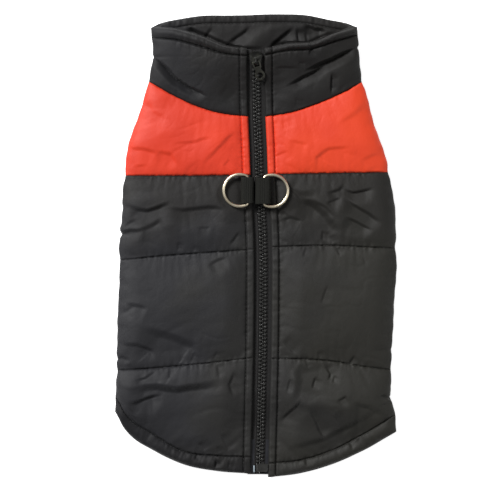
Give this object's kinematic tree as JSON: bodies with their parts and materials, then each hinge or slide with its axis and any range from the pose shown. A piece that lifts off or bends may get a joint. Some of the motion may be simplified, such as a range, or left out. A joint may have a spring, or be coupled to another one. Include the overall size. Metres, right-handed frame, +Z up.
{
  "type": "dog puffer vest",
  "caption": "Quilted puffer vest for a dog, laid flat: zip down the back, stand collar, chest band, elastic hem, webbing loops with D-rings, leg holes underneath.",
  "frame": {"origin": "centre of the vest's outline, on the surface that it lies on", "axes": "+Z up, +Y towards the collar, +X towards the wearer's right when the zip side is up"},
  "size_m": [0.2257, 0.3712, 0.0219],
  "materials": {
    "black_nylon": "quilted nylon, soft sheen",
    "red_nylon": "quilted nylon, soft sheen",
    "webbing": "ribbed webbing, matt",
    "zip_tape": "woven tape, matt",
    "zip_plastic": "moulded, satin",
    "zip_pin": "pale, satin",
    "slider_metal": "dark enamel, semi-gloss",
    "nickel": "polished nickel"
  },
  "bodies": {
    "vest": {"yoke_left": "black_nylon", "yoke_right": "black_nylon", "chest_band_left": "red_nylon", "chest_band_right": "red_nylon", "back_panel_left": "black_nylon", "back_panel_right": "black_nylon", "hem_band_left": "black_nylon", "hem_band_right": "black_nylon", "belly_panel": "black_nylon", "belly_hem": "black_nylon", "leg_binding_left": "black_nylon", "leg_binding_right": "black_nylon", "zip_tape_left": "zip_tape", "zip_tape_right": "zip_tape", "zip_chain": "zip_plastic", "zip_box": "zip_plastic", "zip_pin": "zip_pin", "zip_slider": "slider_metal", "ring_loop_left": "webbing", "ring_loop_right": "webbing"},
    "ring_left": {"d_ring_left": "nickel"},
    "ring_right": {"d_ring_right": "nickel"},
    "pull": {"zip_pull": "slider_metal"}
  },
  "joints": [
    {"name": "ring_left_swing", "type": "hinge", "parent": "vest", "child": "ring_left", "pos_m": [-0.007, 0.0444, 0.014], "axis": [0, 1, 0], "range_deg": [0, 100]},
    {"name": "ring_right_swing", "type": "hinge", "parent": "vest", "child": "ring_right", "pos_m": [0.0066, 0.044, 0.014], "axis": [0, -1, 0], "range_deg": [0, 100]},
    {"name": "pull_swing", "type": "hinge", "parent": "vest", "child": "pull", "pos_m": [-0.0001, 0.14619, 0.01958], "axis": [-0.9563, -0.2849, -0.0656], "range_deg": [0, 150]}
  ]
}
